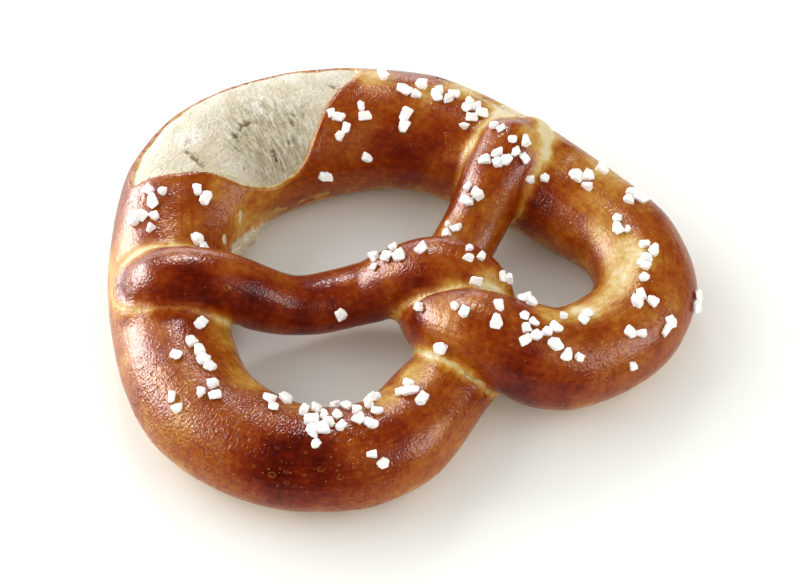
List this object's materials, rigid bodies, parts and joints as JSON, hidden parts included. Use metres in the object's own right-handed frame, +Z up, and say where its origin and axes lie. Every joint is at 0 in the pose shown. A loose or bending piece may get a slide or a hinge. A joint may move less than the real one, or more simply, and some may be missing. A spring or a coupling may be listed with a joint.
{
  "type": "soft pretzel",
  "caption": "Soft baked pretzel: one twisted rope of dough with crossed arms, a burst belly and coarse salt on a shiny browned crust.",
  "frame": {"origin": "on the tray, under the middle of the pretzel's outline", "axes": "+Z up, +Y towards the thick belly, -Y towards the two loops, +X towards the right loop"},
  "size_m": [0.1542, 0.1491, 0.0334],
  "materials": {
    "crust": "glossy",
    "crumb": "matte",
    "salt": "satin"
  },
  "bodies": {
    "root": {"pretzel": "crust"}
  },
  "joints": []
}
